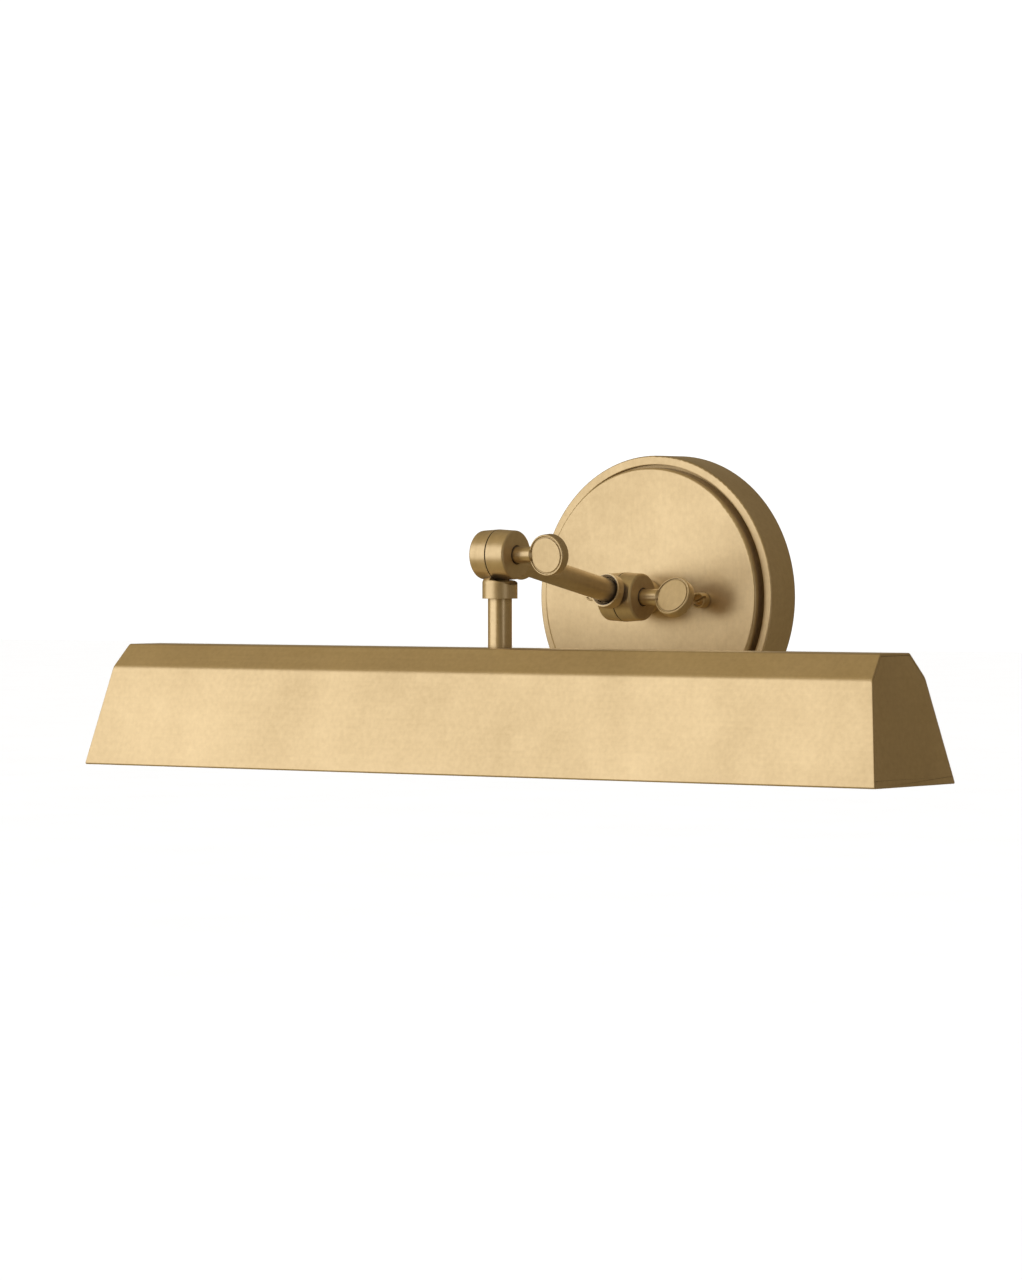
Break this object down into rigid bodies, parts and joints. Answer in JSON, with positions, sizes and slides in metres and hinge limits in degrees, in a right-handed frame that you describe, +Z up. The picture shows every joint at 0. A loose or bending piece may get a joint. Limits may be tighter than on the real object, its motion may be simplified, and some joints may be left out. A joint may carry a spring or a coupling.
{
  "type": "picture light",
  "caption": "Wall-mounted picture light: round stepped plate, rising arm with two clamped knuckles and thumb screws, long splayed trough shade over two tubular lamps.",
  "frame": {"origin": "centre of the round wall plate, on the wall plane", "axes": "+X along the shade towards the thumb screws, +Y into the wall, +Z up"},
  "size_m": [0.4572, 0.1791, 0.1502],
  "materials": {
    "aged_brass": "satin, aged",
    "plain_brass": "bright",
    "zinc_steel": "zinc plated",
    "green_screw": "dyed green",
    "copper": "bare wire",
    "lead_sleeve": "matte",
    "fibre": "matte",
    "phenolic": "satin",
    "bulb_cap": "satin",
    "bulb_glass": "frosted"
  },
  "bodies": {
    "base": {"wall_pan": "aged_brass", "face_disc": "aged_brass", "mounting_bracket": "zinc_steel", "bracket_studs": "zinc_steel", "stud_lock_nuts": "zinc_steel", "canopy_nuts": "aged_brass", "ground_screw": "green_screw", "ground_lead": "copper", "wall_nipple": "zinc_steel", "nipple_washer": "zinc_steel", "nipple_nut": "zinc_steel", "supply_leads": "lead_sleeve", "wall_knuckle": "aged_brass", "lower_friction_washer": "fibre"},
    "arm": {"arm_lower_knuckle": "aged_brass", "arm_tube": "aged_brass", "arm_upper_knuckle": "aged_brass", "upper_friction_washer": "fibre", "arm_leads": "lead_sleeve"},
    "lower_thumb": {"lower_knob": "aged_brass", "lower_clamp_stud": "zinc_steel"},
    "upper_thumb": {"upper_knob": "aged_brass", "upper_clamp_stud": "zinc_steel"},
    "head": {"head_knuckle": "aged_brass", "head_stem": "aged_brass", "stem_washer": "zinc_steel", "stem_nut": "zinc_steel", "shade_shell": "aged_brass", "shade_end_left": "aged_brass", "shade_end_right": "aged_brass", "socket_bracket": "zinc_steel", "socket_left": "phenolic", "socket_right": "phenolic", "socket_nuts": "zinc_steel", "screw_shell_left": "plain_brass", "screw_shell_right": "plain_brass", "bulb_base_left": "bulb_cap", "bulb_base_right": "bulb_cap", "bulb_glass_left": "bulb_glass", "bulb_glass_right": "bulb_glass", "head_leads": "lead_sleeve"}
  },
  "joints": [
    {"name": "arm_pivot", "type": "hinge", "parent": "base", "child": "arm", "pos_m": [0, -0.0437, 0], "axis": [1, 0, 0], "range_deg": [-50, 45]},
    {"name": "head_pivot", "type": "hinge", "parent": "arm", "child": "head", "pos_m": [0, -0.14567, 0.02047], "axis": [1, 0, 0], "range_deg": [-80, 5]},
    {"name": "lower_thumb_turn", "type": "hinge", "parent": "arm", "child": "lower_thumb", "pos_m": [0, -0.0437, 0], "axis": [1, 0, 0], "range_deg": [0, 360]},
    {"name": "upper_thumb_turn", "type": "hinge", "parent": "head", "child": "upper_thumb", "pos_m": [0, -0.14567, 0.02047], "axis": [1, 0, 0], "range_deg": [0, 360]}
  ]
}
